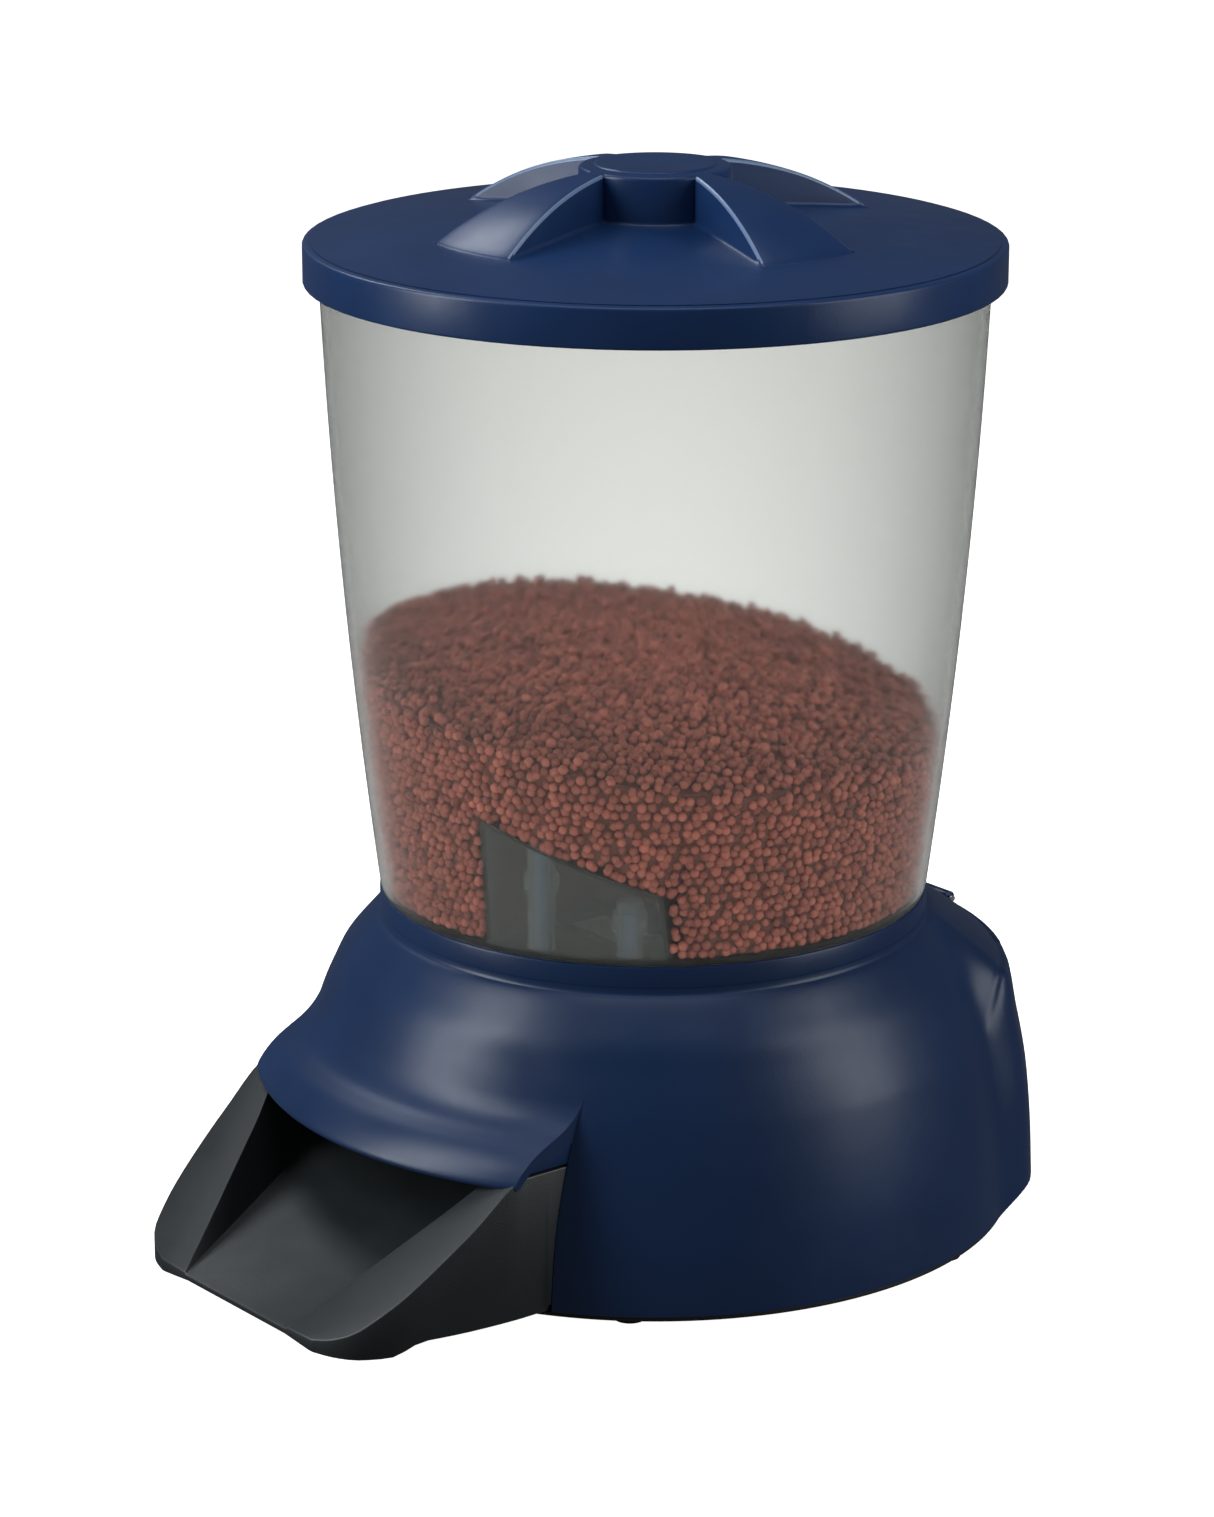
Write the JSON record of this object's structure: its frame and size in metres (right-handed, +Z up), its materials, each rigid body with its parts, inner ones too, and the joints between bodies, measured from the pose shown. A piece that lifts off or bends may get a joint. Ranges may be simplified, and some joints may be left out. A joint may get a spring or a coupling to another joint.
{
  "type": "automatic fish feeder",
  "caption": "Free-standing fish feeder: clear tapered hopper with a lift-off lid on a domed base that meters pellets onto a front chute.",
  "frame": {"origin": "centre of the overall footprint on the ground plane", "axes": "+Z up along the hopper axis, -Y the way the chute points, +Y the timer cover, +X to the right seen from the chute's back"},
  "size_m": [0.2852, 0.3526, 0.4117],
  "materials": {
    "lid_plastic": "satin moulded polypropylene, navy blue",
    "base_plastic": "satin moulded plastic, navy blue",
    "cover_plastic": "satin moulded plastic, navy blue",
    "hopper_plastic": "frosted translucent plastic",
    "hood_plastic": "clear plastic",
    "hood_screw_plastic": "blue plastic screw",
    "pellets": "matte pressed pellets, brown red",
    "seal_rubber": "soft black rubber",
    "foot_rubber": "black rubber",
    "chute_plastic": "fine-textured black plastic",
    "plate_plastic": "textured black plastic",
    "panel_plastic": "textured dark grey plastic",
    "button_rubber": "grey silicone rubber",
    "lcd_glass": "clear display window",
    "lcd_frame": "display module",
    "circuit_board": "green solder mask",
    "white_plastic": "natural white acetal",
    "gear_plastic": "cream acetal",
    "steel": "zinc-plated steel",
    "brass": "machined brass",
    "cell_jacket": "plain dark cell jacket, no marks"
  },
  "bodies": {
    "base": {"base_shell": "base_plastic", "neck_ring": "base_plastic", "base_plate": "plate_plastic", "foot_1": "foot_rubber", "foot_2": "foot_rubber", "foot_3": "foot_rubber", "foot_4": "foot_rubber", "foot_5": "foot_rubber", "foot_6": "foot_rubber", "base_screw_1": "steel", "base_screw_2": "steel", "base_screw_3": "steel", "base_screw_4": "steel", "mechanism_deck": "plate_plastic", "deck_screw_1": "steel", "deck_screw_2": "steel", "dispenser_housing": "white_plastic", "housing_end_cap": "white_plastic", "reduction_axle": "steel", "motor": "steel", "gearbox_plate_inner": "steel", "gearbox_plate_outer": "steel", "gearbox_pillar_1": "steel", "gearbox_pillar_2": "steel", "gearbox_pillar_3": "steel", "cover_hinge_pin": "steel", "control_panel": "panel_plastic", "panel_frame": "panel_plastic", "lcd_window": "lcd_glass", "lcd_module": "lcd_frame", "timer_board": "circuit_board", "battery_tray": "plate_plastic", "battery_1": "cell_jacket", "battery_2": "cell_jacket", "battery_3": "cell_jacket", "battery_4": "cell_jacket", "battery_contact_left": "brass", "battery_contact_right": "brass"},
    "hopper": {"hopper": "hopper_plastic", "hopper_floor": "hopper_plastic", "hopper_spigot": "hopper_plastic", "outlet_hood": "hood_plastic", "hood_screw_left": "hood_screw_plastic", "hood_screw_right": "hood_screw_plastic", "pellet_feed": "pellets"},
    "lid": {"lid": "lid_plastic", "lid_seal": "seal_rubber"},
    "chute": {"chute": "chute_plastic"},
    "timer_cover": {"timer_cover": "cover_plastic"},
    "battery_door": {"battery_door": "plate_plastic"},
    "drum": {"dispenser_drum": "white_plastic", "drum_shaft": "steel", "drum_gear": "gear_plastic"},
    "reduction": {"reduction_gear": "gear_plastic"},
    "motor_rotor": {"motor_pinion": "brass", "motor_shaft": "steel"},
    "button_1": {"button_1": "button_rubber"},
    "button_2": {"button_2": "button_rubber"},
    "button_3": {"button_3": "button_rubber"},
    "button_4": {"button_4": "button_rubber"}
  },
  "joints": [
    {"name": "hopper_lift", "type": "slide", "parent": "base", "child": "hopper", "axis": [0, 0, 1], "range_m": [0, 0.1]},
    {"name": "lid_lift", "type": "slide", "parent": "hopper", "child": "lid", "axis": [0, 0, 1], "range_m": [0, 0.15]},
    {"name": "chute_pull", "type": "slide", "parent": "base", "child": "chute", "axis": [0, -1, 0], "range_m": [0, 0.12]},
    {"name": "timer_cover_hinge", "type": "hinge", "parent": "base", "child": "timer_cover", "pos_m": [0, 0.16425, 0.0974], "axis": [1, 0, 0], "range_deg": [0, 95]},
    {"name": "battery_door_hinge", "type": "hinge", "parent": "base", "child": "battery_door", "pos_m": [0, 0.06395, 0.00285], "axis": [-1, 0, 0], "range_deg": [0, 100]},
    {"name": "drum_spin", "type": "hinge", "parent": "base", "child": "drum", "pos_m": [0.037, -0.02535, 0.092], "axis": [1, 0, 0], "continuous": true},
    {"name": "reduction_spin", "type": "hinge", "parent": "base", "child": "reduction", "pos_m": [0.005, -0.00165, 0.088], "axis": [1, 0, 0], "continuous": true},
    {"name": "motor_spin", "type": "hinge", "parent": "base", "child": "motor_rotor", "pos_m": [0, 0.02335, 0.088], "axis": [1, 0, 0], "continuous": true},
    {"name": "button_1_press", "type": "slide", "parent": "base", "child": "button_1", "axis": [0, -1, 0], "range_m": [0, 0.0012], "stiffness_N_per_m": 400},
    {"name": "button_2_press", "type": "slide", "parent": "base", "child": "button_2", "axis": [0, -1, 0], "range_m": [0, 0.0012], "stiffness_N_per_m": 400},
    {"name": "button_3_press", "type": "slide", "parent": "base", "child": "button_3", "axis": [0, -1, 0], "range_m": [0, 0.0012], "stiffness_N_per_m": 400},
    {"name": "button_4_press", "type": "slide", "parent": "base", "child": "button_4", "axis": [0, -1, 0], "range_m": [0, 0.0012], "stiffness_N_per_m": 400}
  ],
  "couplings": [
    {"joint": "reduction_spin", "follows": "drum_spin", "ratio": -3},
    {"joint": "motor_spin", "follows": "drum_spin", "ratio": 12}
  ]
}
